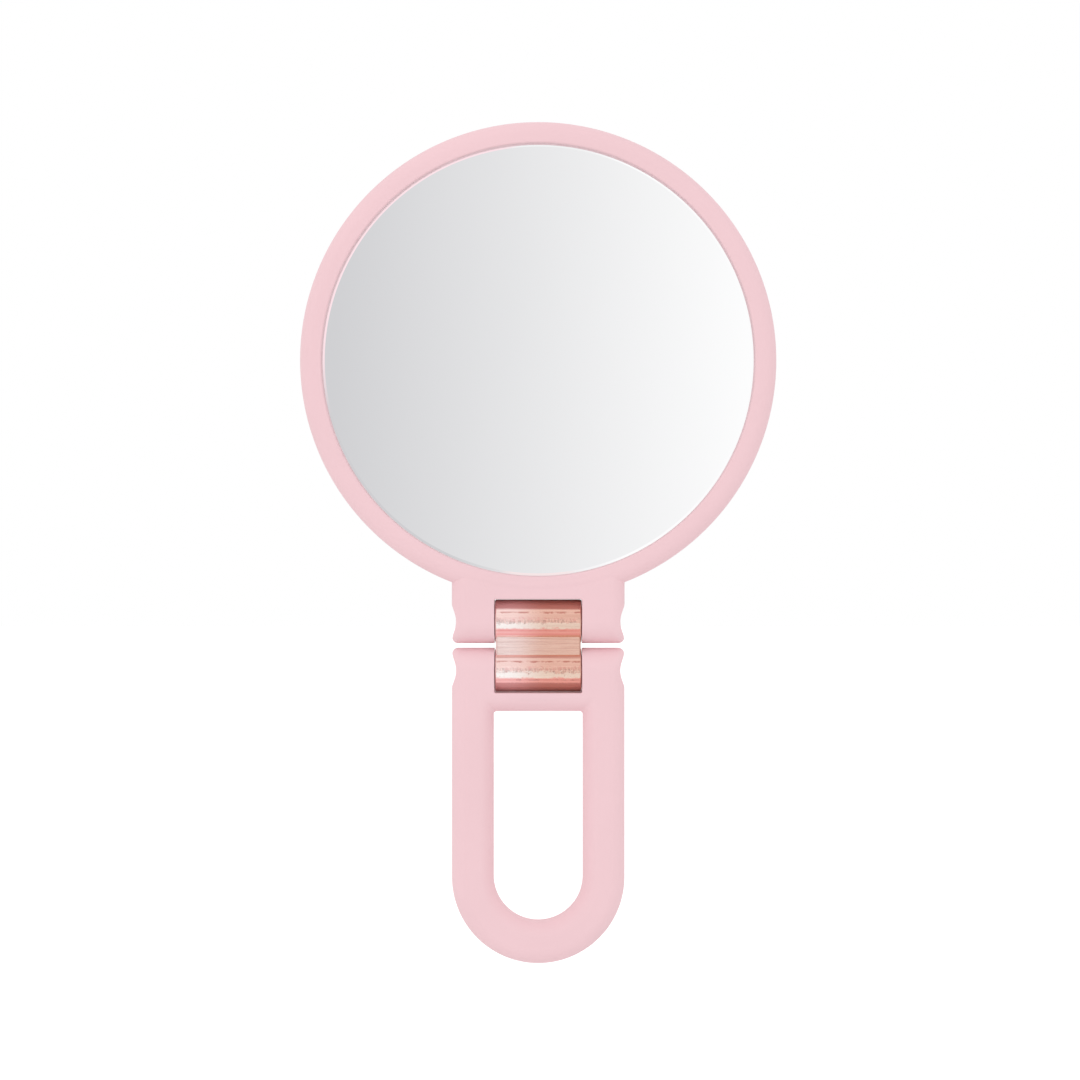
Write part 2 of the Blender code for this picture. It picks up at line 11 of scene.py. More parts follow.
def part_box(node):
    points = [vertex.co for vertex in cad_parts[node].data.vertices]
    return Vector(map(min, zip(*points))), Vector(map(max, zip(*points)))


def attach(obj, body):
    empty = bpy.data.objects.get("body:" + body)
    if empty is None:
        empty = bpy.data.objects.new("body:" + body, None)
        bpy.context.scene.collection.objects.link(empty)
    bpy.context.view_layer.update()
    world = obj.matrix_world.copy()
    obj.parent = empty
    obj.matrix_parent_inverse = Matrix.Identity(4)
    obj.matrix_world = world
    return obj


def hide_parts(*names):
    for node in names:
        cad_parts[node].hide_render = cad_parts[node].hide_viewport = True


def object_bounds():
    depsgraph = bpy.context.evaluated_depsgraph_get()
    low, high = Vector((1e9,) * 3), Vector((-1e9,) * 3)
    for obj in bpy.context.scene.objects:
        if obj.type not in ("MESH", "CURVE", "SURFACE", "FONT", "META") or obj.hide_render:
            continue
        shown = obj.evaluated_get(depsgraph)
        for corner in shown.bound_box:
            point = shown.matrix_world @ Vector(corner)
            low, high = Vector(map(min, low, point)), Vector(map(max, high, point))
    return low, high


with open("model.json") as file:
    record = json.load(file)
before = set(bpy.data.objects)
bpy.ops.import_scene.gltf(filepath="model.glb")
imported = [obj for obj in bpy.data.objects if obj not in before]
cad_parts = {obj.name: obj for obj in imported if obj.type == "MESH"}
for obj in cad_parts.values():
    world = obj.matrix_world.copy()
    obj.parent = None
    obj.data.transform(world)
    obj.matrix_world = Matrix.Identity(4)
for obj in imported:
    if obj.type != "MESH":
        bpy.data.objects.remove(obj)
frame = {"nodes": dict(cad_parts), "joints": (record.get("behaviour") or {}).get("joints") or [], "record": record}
CAD_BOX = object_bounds()

# ---- sizes read from the frame ------------------------------------------------------------------
AXIS_Z = {joint["name"]: joint["pos_m"][2] for joint in frame["joints"]}
LOWER_AXIS_Z = AXIS_Z["lower_fold"]
UPPER_AXIS_Z = AXIS_Z["upper_fold"]
HANDLE_LOW, HANDLE_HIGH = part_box("handle_rear_shell")
HEAD_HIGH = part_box("head_rear_shell")[1]
HALF = HANDLE_HIGH.y
HALF_WIDTH = HANDLE_HIGH.x
HEAD_HALF = HEAD_HIGH.y
HEAD_RADIUS = HEAD_HIGH.x
HEAD_CENTRE_Z = HEAD_HIGH.z - HEAD_RADIUS
LINK_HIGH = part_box("hinge_link")[1]
BARREL_HALF_LENGTH = LINK_HIGH.x
BARREL_RADIUS = LINK_HIGH.y
GLASS_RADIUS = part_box("magnifying_glass")[1].x
GLASS_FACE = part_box("magnifying_glass")[1].y
FLAT_FACE = -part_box("front_glass")[0].y
CAP_LOW, CAP_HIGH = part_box("upper_pin_cap_right")
CAP_RADIUS = CAP_HIGH.y

# ---- sizes that the frame's boxes don't give ----------------------------------------------------
SEAM = HANDLE_LOW.y * 2
SEAM_ROUND = 0.00012
LAP_INSET = 0.0007  # from a front skin's outside to the lap that closes the seam from behind
LAP_CLEARANCE = 0.00001
EDGE_ROUND = 0.0045
HEAD_EDGE_ROUND = 0.0042
APERTURE_RADIUS = 0.0635
LIP_ROUND = 0.0006
LIP_CLEARANCE = 0.00003  # between the rim's lip and the glass under it
BAR_WIDTH = 0.0123
LOOP_OPEN_TOP = 0.0309
LOOP_CORNER = 0.0010
SILL_CLEARANCE = 0.0002
WINDOW_HALF_WIDTH = 0.01285
WINDOW_ROUND = 0.0004
WINDOW_CORNER = 0.0005
EAR_CORNER = 0.0018
DISH_RADIUS = 0.0055
DISH_DEPTH = 0.0019
DISH_DRAFT = 0.0004
WEB_HALF_DEPTH = 0.0044
WEB_SIDE_INSET = 0.0002
WEB_ROUND = 0.0006
BARREL_ROUND = 0.0005
BORE_RADIUS = 0.00165
SLEEVE_BORE_RADIUS = 0.00245
RECESS_RADIUS = 0.0047
RECESS_DEPTH = 0.00035
GLASS_THICKNESS = 0.0020
BEVEL_SHOWN = 0.0009
BEVEL_DEPTH = 0.00018
MAGNIFIER_CURVE = 0.670
POCKET_CLEARANCE = 0.0003
CAP_CLEARANCE = 0.0001  # round the cap
CAP_BACK_CLEARANCE = 0.0002
CAP_SHOULDER = 0.6  # share of the cap's height at which its edge starts to round
CAP_EDGE_ROUND = 0.0003
CAP_DOME = ((0.6, 0.00006), (0.3, 0.00001))  # (share of the radius, drop below the top)
OVERLAP = 0.0010
REACH = 0.5

OPEN_HALF_WIDTH = HALF_WIDTH - BAR_WIDTH
LOOP_CENTRE_Z = HANDLE_LOW.z + HALF_WIDTH
SILL_Z = LOWER_AXIS_Z - BARREL_RADIUS - SILL_CLEARANCE
LINTEL_Z = UPPER_AXIS_Z + BARREL_RADIUS + SILL_CLEARANCE
POCKET_RADIUS = GLASS_RADIUS + POCKET_CLEARANCE
BEVEL_START = APERTURE_RADIUS - BEVEL_SHOWN
NECK_ROOT_Z = HEAD_CENTRE_Z - math.sqrt(APERTURE_RADIUS**2 - HALF_WIDTH**2)
DISH_FLOOR_X = HALF_WIDTH - DISH_DEPTH

# ---- how finely round shapes are cut ------------------------------------------------------------
RING_SIDES = 256
LOOP_STEPS = 96
ROUND_STEPS = 12
FINE_STEPS = 4
LIP_STEPS = 6
TIP_STEPS = 4
CORNER_STEPS = 8
BARREL_SIDES = 128
SMALL_SIDES = 64
END_STEPS = 5
MAGNIFIER_STEPS = 40
SMOOTH_ANGLE = math.radians(35)
BEVEL_ANGLE = math.radians(3)
MERGE = 2e-7  # corners closer than this are one corner

QUARTER = math.pi / 2
CAP_EDGE_TURN = QUARTER * 0.8
ALONG_X = Matrix.Rotation(QUARTER, 4, "Y")
AGAINST_X = Matrix.Rotation(-QUARTER, 4, "Y")
TO_REAR = Matrix.Rotation(-QUARTER, 4, "X")
TO_FRONT = Matrix.Rotation(QUARTER, 4, "X")
FRONT, REAR = -1, 1


# ---- mesh helpers -------------------------------------------------------------------------------
def mesh_object(name, bm):
    bmesh.ops.recalc_face_normals(bm, faces=bm.faces)
    mesh = bpy.data.meshes.new(name)
    bm.to_mesh(mesh)
    bm.free()
    obj = bpy.data.objects.new(name, mesh)
    bpy.context.scene.collection.objects.link(obj)
    return obj


def merge_corners(mesh):
    """Merges the corners that a Boolean leaves on top of each other."""
    bm = bmesh.new()
    bm.from_mesh(mesh)
    bmesh.ops.remove_doubles(bm, verts=bm.verts, dist=MERGE)
    bmesh.ops.dissolve_degenerate(bm, dist=MERGE, edges=bm.edges)
    bm.to_mesh(mesh)
    bm.free()


def combine(target, other, operation):
    """Applies a Boolean to the target and deletes the other object."""
    modifier = target.modifiers.new(operation, "BOOLEAN")
    modifier.operation = operation
    modifier.solver = "EXACT"
    modifier.object = other
    graph = bpy.context.evaluated_depsgraph_get()
    graph.update()
    mesh = bpy.data.meshes.new_from_object(target.evaluated_get(graph))
    merge_corners(mesh)
    target.modifiers.clear()
    target.data = mesh
    bpy.data.objects.remove(other)


def cut(target, other):
    combine(target, other, "DIFFERENCE")


def join(target, other):
    combine(target, other, "UNION")


def arc(centre, radius, start, end, steps):
    angles = [start + (end - start) * i / steps for i in range(steps + 1)]
    return [(centre[0] + radius * math.cos(a), centre[1] + radius * math.sin(a)) for a in angles]


def turned(name, profile, sides, turn, centre=(0, 0, 0)):
    """A (radius, height) profile spun about local Z. It is closed on itself, or ends on the axis."""
    bm = bmesh.new()
    angles = [math.tau * i / sides for i in range(sides)]
    rings = []
    for r, h in profile:
        if r == 0:
            rings.append([bm.verts.new((0, 0, h))] * sides)
        else:
            rings.append([bm.verts.new((r * math.cos(a), r * math.sin(a), h)) for a in angles])
    pairs = list(zip(rings, rings[1:]))
    if profile[0][0] and profile[-1][0]:
        pairs.append((rings[-1], rings[0]))
    for low, high in pairs:
        for i in range(sides):
            j = (i + 1) % sides
            bm.faces.new(tuple(dict.fromkeys((low[i], low[j], high[j], high[i]))))
    bmesh.ops.transform(bm, matrix=Matrix.Translation(centre) @ turn, verts=bm.verts)
    return mesh_object(name, bm)


def rod(name, radius, start, end, turn, centre, sides=SMALL_SIDES):
    profile = [(0, start), (radius, start), (radius, end), (0, end)]
    return turned(name, profile, sides, turn, centre)


def round_inset(depth, radius):
    """How far a crown edge rounded at this radius has drawn in at a depth."""
    rise = max(depth - (HALF - radius), 0.0)
    return radius - math.sqrt(max(radius**2 - rise**2, 0.0))


def eased(start, size, steps):
    """Depths along a quarter round, from its start to its crown."""
    return [start + size * math.sin(QUARTER * i / steps) for i in range(steps + 1)]


def depth_levels(side_round, fine_round, lapped):
    """(depth, long edges' inset, fine edges' inset), out to a crown with both edges rounded."""
    start = SEAM / 2
    flat = HALF - side_round
    depths = {start, start + SEAM_ROUND}
    depths.update(flat * i / TIP_STEPS for i in range(1, TIP_STEPS + 1))
    depths.update(eased(flat, side_round, ROUND_STEPS)[1:-1])
    depths.update(eased(HALF - fine_round, fine_round, FINE_STEPS))
    levels = []
    if lapped:
        levels = [(depth, LAP_INSET, LAP_INSET) for depth in (LAP_CLEARANCE - start, start)]
    for depth in sorted(depths):
        seam_inset = SEAM_ROUND if depth == start else 0.0
        side_inset = round_inset(depth, side_round) + seam_inset
        levels.append((depth, side_inset, round_inset(depth, fine_round)))
    return levels


def lofted(name, levels, outlines_at, side):
    """A closed solid whose (x, z) outlines change with depth, from the first level to the last."""
    bm = bmesh.new()
    stack = []
    for level in levels:
        loops = outlines_at(*level)
        stack.append([[bm.verts.new((x, side * level[0], z)) for x, z in loop] for loop in loops])
    for low, high in zip(stack, stack[1:]):
        for near, far in zip(low, high):
            for i in range(len(near)):
                j = (i + 1) % len(near)
                bm.faces.new((near[i], near[j], far[j], far[i]))
    for loops in (stack[0], stack[-1]):
        rims = [bm.edges.get(pair) for loop in loops for pair in zip(loop, loop[1:] + loop[:1])]
        bmesh.ops.triangle_fill(bm, edges=rims, use_beauty=True)
    return mesh_object(name, bm)


def smooth(obj, angle=SMOOTH_ANGLE, weighted=False):
    """Smooth shading with edges sharp from an angle, and normals that follow the large faces."""
    obj.data.shade_smooth()
    obj.data.set_sharp_from_angle(angle=angle)
    if weighted:
        modifier = obj.modifiers.new("normals", "WEIGHTED_NORMAL")
        modifier.mode = "FACE_AREA"
        modifier.keep_sharp = True


def settle(obj, slot, body, node):
    """Gives a finished piece the material of its slot, hangs it on its body, and hides the node it takes the place
    of.
    """
    obj.data.materials.clear()
    obj.data.materials.append(MATERIALS[slot])
    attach(obj, body)
    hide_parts(node)


# ---- outlines of the shells ---------------------------------------------------------------------
def ear_tip(axis_z, direction, depth):
    """Height of the ears' half-round end at a depth from the middle plane."""
    return axis_z + direction * math.sqrt(max(HALF**2 - depth**2, 0))


def ears_outline(tip_z, end_z, direction, inset, fine):
    """From the right side over both ears, round the slot between them, to the left side."""
    if fine == LAP_INSET:
        tip_z -= direction * LAP_INSET
    side_x = HALF_WIDTH - inset - EAR_CORNER
    side_z = tip_z - direction * EAR_CORNER
    slot_x = WINDOW_HALF_WIDTH + fine
    slot_z = end_z - direction * fine
    corner = (slot_x - WINDOW_CORNER, slot_z + direction * WINDOW_CORNER)
    right = arc((side_x, side_z), EAR_CORNER, 0, direction * QUARTER, CORNER_STEPS)
    right.append((slot_x, tip_z))
    right += arc(corner, WINDOW_CORNER, 0, -direction * QUARTER, CORNER_STEPS)
    left = [(-x, z) for x, z in reversed(right)]
    return right + left


def neck_outlines(depth, inset, fine):
    tip = ear_tip(UPPER_AXIS_Z, -1, depth)
    half_width = HALF_WIDTH - inset
    ears = ears_outline(tip, LINTEL_Z, -1, inset, fine)
    return [[*ears, (-half_width, NECK_ROOT_Z), (half_width, NECK_ROOT_Z)]]


def handle_outlines(depth, inset, fine):
    tip = ear_tip(LOWER_AXIS_Z, 1, depth)
    outer = ears_outline(tip, SILL_Z, 1, inset, fine)
    outer += arc((0, LOOP_CENTRE_Z), HALF_WIDTH - inset, math.pi, math.tau, LOOP_STEPS)
    corner_x = OPEN_HALF_WIDTH + inset - LOOP_CORNER
    corner_z = LOOP_OPEN_TOP + inset - LOOP_CORNER
    opening = arc((corner_x, corner_z), LOOP_CORNER, 0, QUARTER, CORNER_STEPS)
    opening += arc((-corner_x, corner_z), LOOP_CORNER, QUARTER, math.pi, CORNER_STEPS)
    opening += arc((0, LOOP_CENTRE_Z), OPEN_HALF_WIDTH + inset, math.pi, math.tau, LOOP_STEPS)
    return [outer, opening]


def cut_pivot(shell, axis_z):
    """The pin's bore, the caps' pockets and the round counterbores in the ears' sides."""
    centre = (0, 0, axis_z)
    past = HALF_WIDTH + OVERLAP
    cut(shell, rod("bore", BORE_RADIUS, -past, past, ALONG_X, centre))
    floor_radius = DISH_RADIUS - DISH_DRAFT
    dish = [
        (0, DISH_FLOOR_X),
        (floor_radius, DISH_FLOOR_X),
        (DISH_RADIUS, HALF_WIDTH),
        (DISH_RADIUS, past),
        (0, past),
    ]
    pocket_radius = CAP_RADIUS + CAP_CLEARANCE
    pocket_floor = CAP_LOW.x - CAP_BACK_CLEARANCE
    for turn in (ALONG_X, AGAINST_X):
        cut(shell, rod("pocket", pocket_radius, pocket_floor, past, turn, centre))
        cut(shell, turned("dish", dish, SMALL_SIDES, turn, centre))


def rim_profile(glass_at_lip, glass_at_edge, lapped):
    """(radius, depth) outline of one rim shell, whose lip follows the glass under it."""
    crown_centre = (HEAD_RADIUS - HEAD_EDGE_ROUND, HEAD_HALF - HEAD_EDGE_ROUND)
    lip_centre = (APERTURE_RADIUS + LIP_ROUND, HEAD_HALF - LIP_ROUND)
    seam = SEAM / 2
    inner_edge = [(POCKET_RADIUS, seam)]
    if lapped:
        lap_radius = HEAD_RADIUS - LAP_INSET
        lap_depth = LAP_CLEARANCE - seam
        inner_edge = [(POCKET_RADIUS, lap_depth), (lap_radius, lap_depth), (lap_radius, seam)]
    return [
        (HEAD_RADIUS - SEAM_ROUND, seam),
        (HEAD_RADIUS, seam + SEAM_ROUND),
        *arc(crown_centre, HEAD_EDGE_ROUND, 0, QUARTER, ROUND_STEPS),
        *arc(lip_centre, LIP_ROUND, QUARTER, math.pi, LIP_STEPS),
        (APERTURE_RADIUS, glass_at_lip + LIP_CLEARANCE),
        (POCKET_RADIUS, glass_at_edge + LIP_CLEARANCE),
        *inner_edge,
    ]


def magnifier_rise(radius):
    """Rise of the magnifying glass's face from its centre out to a radius."""
    return MAGNIFIER_CURVE - math.sqrt(MAGNIFIER_CURVE**2 - radius**2)


def make_head_skin(side, name, node):
    if side == FRONT:
        turn = TO_FRONT
        glass_at_edge = FLAT_FACE - BEVEL_DEPTH
        glass_at_lip = FLAT_FACE - BEVEL_DEPTH * BEVEL_SHOWN / (GLASS_RADIUS - BEVEL_START)
    else:
        turn = TO_REAR
        glass_at_edge = GLASS_FACE
        glass_at_lip = GLASS_FACE - magnifier_rise(GLASS_RADIUS) + magnifier_rise(APERTURE_RADIUS)
    centre = (0, 0, HEAD_CENTRE_Z)
    lapped = side == FRONT
    neck = lofted("neck", depth_levels(EDGE_ROUND, WINDOW_ROUND, lapped), neck_outlines, side)
    bowl_radius = POCKET_RADIUS + POCKET_CLEARANCE
    cut(neck, rod("bowl", bowl_radius, -REACH, REACH, TO_REAR, centre, RING_SIDES))
    profile = rim_profile(glass_at_lip, glass_at_edge, lapped)
    skin = turned(name, profile, RING_SIDES, turn, centre)
    join(skin, neck)
    cut_pivot(skin, UPPER_AXIS_Z)
    smooth(skin, weighted=True)
    settle(skin, "soft_touch_pink", "head", node)


def make_handle_skin(side, name, node):
    levels = depth_levels(EDGE_ROUND, WINDOW_ROUND, side == FRONT)
    skin = lofted(name, levels, handle_outlines, side)
    cut_pivot(skin, LOWER_AXIS_Z)
    smooth(skin, weighted=True)
    settle(skin, "soft_touch_pink", "handle", node)


# ---- link, glasses and caps ---------------------------------------------------------------------
def web_section(half, depth):
    """(x, y) outline of the web, with its four long edges rounded."""
    x, y = half - WEB_ROUND, depth - WEB_ROUND
    points = []
    for i, corner in enumerate(((x, y), (-x, y), (-x, -y), (x, -y))):
        points += arc(corner, WEB_ROUND, i * QUARTER, (i + 1) * QUARTER, END_STEPS)
    return points


def make_web():
    """The flat piece between the two barrels, which becomes the link."""
    outline = web_section(BARREL_HALF_LENGTH - WEB_SIDE_INSET, WEB_HALF_DEPTH)
    bm = bmesh.new()
    low = [bm.verts.new((x, y, LOWER_AXIS_Z)) for x, y in outline]
    high = [bm.verts.new((x, y, UPPER_AXIS_Z)) for x, y in outline]
    count = len(outline)
    for i in range(count):
        j = (i + 1) % count
        bm.faces.new((low[i], low[j], high[j], high[i]))
    bm.faces.new(low[::-1])
    bm.faces.new(high)
    return mesh_object("link_skin", bm)


def make_link_skin():
    """Two plated barrels with rounded ends, joined by a flat web with eased long edges."""
    link = make_web()
    centre = (BARREL_RADIUS - BARREL_ROUND, BARREL_HALF_LENGTH - BARREL_ROUND)
    rounds = arc(centre, BARREL_ROUND, 0, QUARTER, END_STEPS)
    profile = [(0, -BARREL_HALF_LENGTH), *[(r, -h) for r, h in reversed(rounds)]]
    profile += [*rounds, (0, BARREL_HALF_LENGTH)]
    places = [(0, 0, LOWER_AXIS_Z), (0, 0, UPPER_AXIS_Z)]
    for place in places:
        join(link, turned("barrel", profile, BARREL_SIDES, ALONG_X, place))
    past = BARREL_HALF_LENGTH + OVERLAP
    recess_floor = BARREL_HALF_LENGTH - RECESS_DEPTH
    for place in places:
        cut(link, rod("bore", SLEEVE_BORE_RADIUS, -past, past, ALONG_X, place))
        for turn in (ALONG_X, AGAINST_X):
            cut(link, rod("recess", RECESS_RADIUS, recess_floor, past, turn, place))
    smooth(link, weighted=True)
    settle(link, "rose_gold", "link", "hinge_link")


def make_flat_glass():
    """The flat glass, with the polished bevel that just shows inside the rim."""
    back = FLAT_FACE - GLASS_THICKNESS
    profile = [
        (0, back),
        (GLASS_RADIUS, back),
        (GLASS_RADIUS, FLAT_FACE - BEVEL_DEPTH),
        (BEVEL_START, FLAT_FACE),
        (0, FLAT_FACE),
    ]
    glass = turned("flat_glass_skin", profile, RING_SIDES, TO_FRONT, (0, 0, HEAD_CENTRE_Z))
    smooth(glass, BEVEL_ANGLE)
    settle(glass, "mirror_silver", "head", "front_glass")


def make_magnifier():
    """The dished glass behind, with a ground edge."""
    centre_face = GLASS_FACE - magnifier_rise(GLASS_RADIUS)
    radii = [GLASS_RADIUS * i / MAGNIFIER_STEPS for i in range(MAGNIFIER_STEPS + 1)]
    shown = [(r, centre_face + magnifier_rise(r)) for r in radii]
    profile = [(r, h - GLASS_THICKNESS) for r, h in shown] + shown[::-1]
    glass = turned("magnifier_skin", profile, RING_SIDES, TO_REAR, (0, 0, HEAD_CENTRE_Z))
    smooth(glass)
    settle(glass, "mirror_silver", "head", "magnifying_glass")


def make_cap(level, side_name, side, axis_z, body):
    """A domed cap that closes the pin's end at the bottom of its counterbore."""
    inner, outer = CAP_LOW.x, CAP_HIGH.x
    shoulder = inner + (outer - inner) * CAP_SHOULDER
    edge_centre = (CAP_RADIUS - CAP_EDGE_ROUND, shoulder)
    profile = [(0, inner), (CAP_RADIUS, inner), (CAP_RADIUS, shoulder)]
    profile += arc(edge_centre, CAP_EDGE_ROUND, 0, CAP_EDGE_TURN, END_STEPS)[1:]
    profile += [(CAP_RADIUS * share, outer - drop) for share, drop in CAP_DOME]
    profile.append((0, outer))
    turn = ALONG_X if side > 0 else AGAINST_X
    name = f"{level}_cap_skin_{side_name}"
    cap = turned(name, profile, SMALL_SIDES, turn, (0, 0, axis_z))
    smooth(cap)
    settle(cap, "soft_touch_pink", body, f"{level}_pin_cap_{side_name}")


# ---- node trees ---------------------------------------------------------------------------------
class Tree:
    """The node tree of a material or the world, emptied, with the kinds of node used here."""

    def __init__(self, owner):
        owner.use_nodes = True
        self.nodes = owner.node_tree.nodes
        self.links = owner.node_tree.links
        self.nodes.clear()

    def add(self, kind, **settings):
        node = self.nodes.new("ShaderNode" + kind)
        for name, value in settings.items():
            setattr(node, name, value)
        return node

    def feed(self, node, sources):
        """Sets or links a node's inputs, from a number or name of each to a value or an output."""
        for key, source in sources.items():
            if isinstance(source, bpy.types.NodeSocket):
                self.links.new(source, node.inputs[key])
            else:
                node.inputs[key].default_value = source
        return node

    def maths(self, operation, *values):
        node = self.add("Math", operation=operation)
        return self.feed(node, dict(enumerate(values))).outputs[0]

    def map_range(self, value, low, high, to_low=0.0, to_high=1.0, interpolation="LINEAR"):
        node = self.add("MapRange", interpolation_type=interpolation)
        limits = {"From Min": low, "From Max": high, "To Min": to_low, "To Max": to_high}
        return self.feed(node, {"Value": value, **limits}).outputs["Result"]

    def colours(self, factor, stops):
        """A colour ramp from (place, grey level or colour) pairs."""
        node = self.feed(self.add("ValToRGB"), {"Fac": factor})
        elements = node.color_ramp.elements
        while len(elements) > 1:
            elements.remove(elements[0])
        for i, (place, level) in enumerate(stops):
            colour = level if isinstance(level, tuple) else (level, level, level)
            element = elements[0] if i == 0 else elements.new(place)
            element.position = place
            element.color = (*colour, 1)
        return node.outputs["Color"]

    def colour_mix(self, share, first, second):
        node = self.add("Mix", data_type="RGBA")
        return self.feed(node, {0: share, 6: first, 7: second}).outputs[2]

    def shader_mix(self, share, first, second):
        return self.feed(self.add("MixShader"), {0: share, 1: first, 2: second}).outputs[0]

    def coordinates(self, kind):
        return self.add("TexCoord").outputs[kind]

    def split(self, vector):
        return self.feed(self.add("SeparateXYZ"), {"Vector": vector}).outputs

    def noise(self, scale, detail=2.0, stretch=(1, 1, 1), roughness=0.5):
        """A noise in object space, drawn out along an axis by a stretch below 1."""
        object_space = self.coordinates("Object")
        mapping = self.feed(self.add("Mapping"), {"Vector": object_space, "Scale": stretch})
        shape = {"Scale": scale, "Detail": detail, "Roughness": roughness}
        texture = self.add("TexNoise")
        return self.feed(texture, {"Vector": mapping.outputs["Vector"], **shape}).outputs["Fac"]

    def tones(self, noise, dark, light):
        """A noise turned into a range of colours."""
        return self.colours(noise, ((NOISE_LOW, dark), (NOISE_HIGH, light)))

    def numbers(self, noise, low, high):
        """A noise turned into a range of numbers."""
        return self.map_range(noise, NOISE_LOW, NOISE_HIGH, low, high)

    def bump(self, height, distance, strength, over=None):
        node = self.add("Bump")
        self.feed(node, {"Height": height, "Distance": distance, "Strength": strength})
        if over:
            self.feed(node, {"Normal": over})
        return node.outputs["Normal"]


# ---- materials ----------------------------------------------------------------------------------
NOISE_LOW, NOISE_HIGH = 0.3, 0.7  # where nearly all of a noise's values lie
PINK = (0.905, 0.618, 0.654)
RIPPLE_FADE = (0.46, 0.36)  # from none to full, in barrel radii off a barrel's axis
LIGHT_TO_SHADE_BORDER = 0.006  # half the width of the border between the plating's painted light on the left and its painted shade on the right


def new_finish(name):
    material = bpy.data.materials.new(name)
    tree = Tree(material)
    shader = tree.add("BsdfPrincipled")
    tree.feed(tree.add("OutputMaterial"), {"Surface": shader.outputs["BSDF"]})
    return material, tree, shader


def tinted(colour, factor):
    return tuple(min(channel * factor, 1.0) for channel in colour)


def soft_touch_pink():
    """Rubberised satin paint over plastic: fine orange peel, faint handling marks."""
    material, tree, shader = new_finish("soft_touch_pink_finish")
    clouds = tree.noise(scale=38.0, detail=3.0)
    marks = tree.noise(scale=110.0, detail=4.0)
    peel = tree.bump(tree.noise(scale=700.0), distance=0.000010, strength=0.6)
    grain = tree.noise(scale=5200.0, detail=1.0)
    tree.feed(shader, {
        "Base Color": tree.tones(clouds, tinted(PINK, 0.985), tinted(PINK, 1.01)),
        "Roughness": tree.numbers(marks, 0.50, 0.60),
        "Normal": tree.bump(grain, distance=0.000003, strength=0.5, over=peel),
        "Specular IOR Level": 0.35,
        "Sheen Weight": 0.10,
        "Sheen Roughness": 0.5,
    })
    return material


def towards_right(tree, ragged):
    """0 at the left and 1 at the right, with a soft border that a noise makes ragged."""
    across = tree.split(tree.coordinates("Object"))["X"]
    shifted = tree.maths("MULTIPLY_ADD", ragged, LIGHT_TO_SHADE_BORDER, across)
    return tree.map_range(shifted, -LIGHT_TO_SHADE_BORDER, LIGHT_TO_SHADE_BORDER, interpolation="SMOOTHSTEP")


def on_barrels(tree):
    """1 along the middle of the link's barrels, 0 on its web and at the barrels' backs."""
    height = tree.split(tree.coordinates("Object"))["Z"]
    from_middle = tree.maths("SUBTRACT", height, (LOWER_AXIS_Z + UPPER_AXIS_Z) / 2)
    away = tree.maths("ABSOLUTE", from_middle)
    from_axis = tree.maths("SUBTRACT", away, (UPPER_AXIS_Z - LOWER_AXIS_Z) / 2)
    none, full = (BARREL_RADIUS * share for share in RIPPLE_FADE)
    return tree.map_range(tree.maths("ABSOLUTE", from_axis), none, full)


def rose_gold():
    """Plated and brushed along the barrels: streaks, a slow ripple, and painted light: the plating's colour
    lighter and paler on the left, darker and more tan on the right.
    """
    material, tree, shader = new_finish("rose_gold_finish")
    streaks = tree.noise(scale=1100.0, detail=3.0, stretch=(0.03, 1.0, 1.0), roughness=0.6)
    lines = tree.noise(scale=3200.0, stretch=(0.02, 1.0, 1.0))
    waves = tree.noise(scale=560.0, detail=3.0, stretch=(1.0, 0.7, 0.7))
    # Painted light and shade: the left tone is lighter and paler and the right tone darker and more tan, standing
    # in for light that falls from the left.
    pale = tree.tones(streaks, (0.90, 0.62, 0.58), (0.99, 0.76, 0.72))
    shaded_tone = tree.tones(streaks, (0.74, 0.42, 0.33), (0.85, 0.52, 0.42))
    kept_waves = tree.maths("MULTIPLY", waves, on_barrels(tree))
    ripple = tree.bump(kept_waves, distance=0.00040, strength=0.7)
    brushed = tree.bump(streaks, distance=0.00006, strength=0.8, over=ripple)
    tree.feed(shader, {
        "Base Color": tree.colour_mix(towards_right(tree, streaks), pale, shaded_tone),
        "Roughness": tree.numbers(streaks, 0.09, 0.15),
        "Normal": tree.bump(lines, distance=0.000004, strength=0.6, over=brushed),
        "Metallic": 1.0,
    })
    return material


def mirror_silver():
    """Silvered glass, with the faintest haze from cleaning."""
    material, tree, shader = new_finish("mirror_silver_finish")
    haze = tree.noise(scale=26.0, detail=5.0, stretch=(1.0, 1.0, 0.35))
    tree.feed(shader, {
        "Base Color": tree.tones(haze, (0.985, 0.987, 0.990), (0.995, 0.996, 1.0)),
        "Roughness": tree.numbers(haze, 0.006, 0.016),
        "Metallic": 1.0,
    })
    return material


def pivot_steel():
    """Ground steel, with the marks of turning."""
    material, tree, shader = new_finish("pivot_steel_finish")
    turning = tree.noise(scale=3000.0, stretch=(1.0, 0.1, 0.1))
    tree.feed(shader, {
        "Base Color": tree.tones(turning, (0.50, 0.51, 0.52), (0.62, 0.63, 0.64)),
        "Roughness": tree.numbers(turning, 0.25, 0.40),
        "Normal": tree.bump(turning, distance=0.000005, strength=0.5),
        "Metallic": 1.0,
    })
    return material


def nylon():
    """Natural nylon, faintly mottled."""
    material, tree, shader = new_finish("nylon_finish")
    mottle = tree.noise(scale=400.0, detail=3.0)
    tree.feed(shader, {
        "Base Color": tree.tones(mottle, (0.78, 0.76, 0.70), (0.84, 0.82, 0.77)),
        "Roughness": tree.numbers(mottle, 0.42, 0.58),
        "Normal": tree.bump(tree.noise(scale=2500.0), distance=0.000008, strength=0.5),
    })
    return material


def gasket_rubber():
    """Matt black rubber with fine cells."""
    material, tree, shader = new_finish("gasket_rubber_finish")
    cells = tree.noise(scale=1800.0, detail=4.0)
    tree.feed(shader, {
        "Base Color": tree.tones(cells, (0.045, 0.045, 0.048), (0.075, 0.075, 0.080)),
        "Roughness": tree.numbers(cells, 0.82, 0.95),
        "Normal": tree.bump(cells, distance=0.00004, strength=0.7),
    })
    return material


